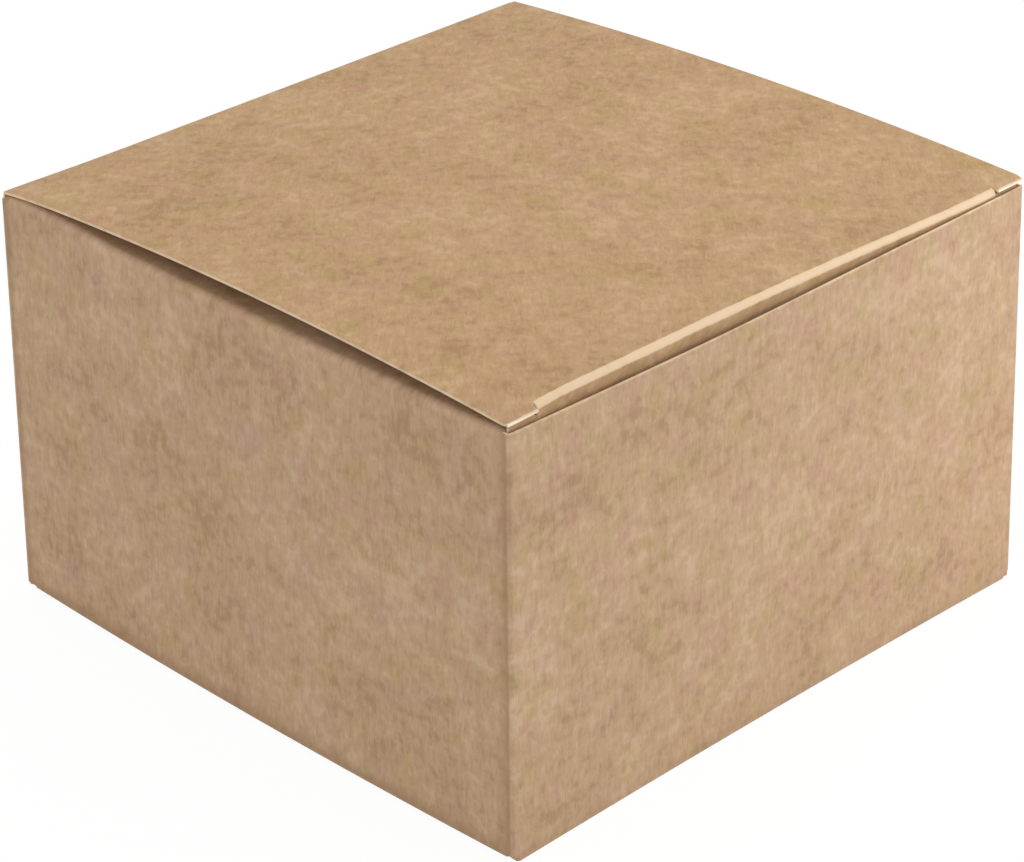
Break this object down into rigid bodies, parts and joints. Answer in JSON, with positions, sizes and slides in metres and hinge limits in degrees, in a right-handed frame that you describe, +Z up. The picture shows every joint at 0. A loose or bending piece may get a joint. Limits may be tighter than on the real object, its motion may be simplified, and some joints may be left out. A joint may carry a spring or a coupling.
{
  "type": "tuck-top burger box",
  "caption": "Square folding carton for a burger: four walls on a self-locking base, with a hinged lid that closes with a slit-locked tuck flap.",
  "frame": {"origin": "centre of the base, on the surface that the box stands on", "axes": "+Z up, +Y towards the wall that carries the hinge, -Y towards the tuck flap, X along the hinge"},
  "size_m": [0.1158, 0.1158, 0.0743],
  "materials": {
    "kraft_board": "matte"
  },
  "bodies": {
    "carton": {"carton": "kraft_board"},
    "lid": {"lid": "kraft_board"}
  },
  "joints": [
    {"name": "lid_hinge", "type": "hinge", "parent": "carton", "child": "lid", "pos_m": [0, 0.05771, 0.07151], "axis": [-1, 0, 0], "range_deg": [0, 180]}
  ]
}
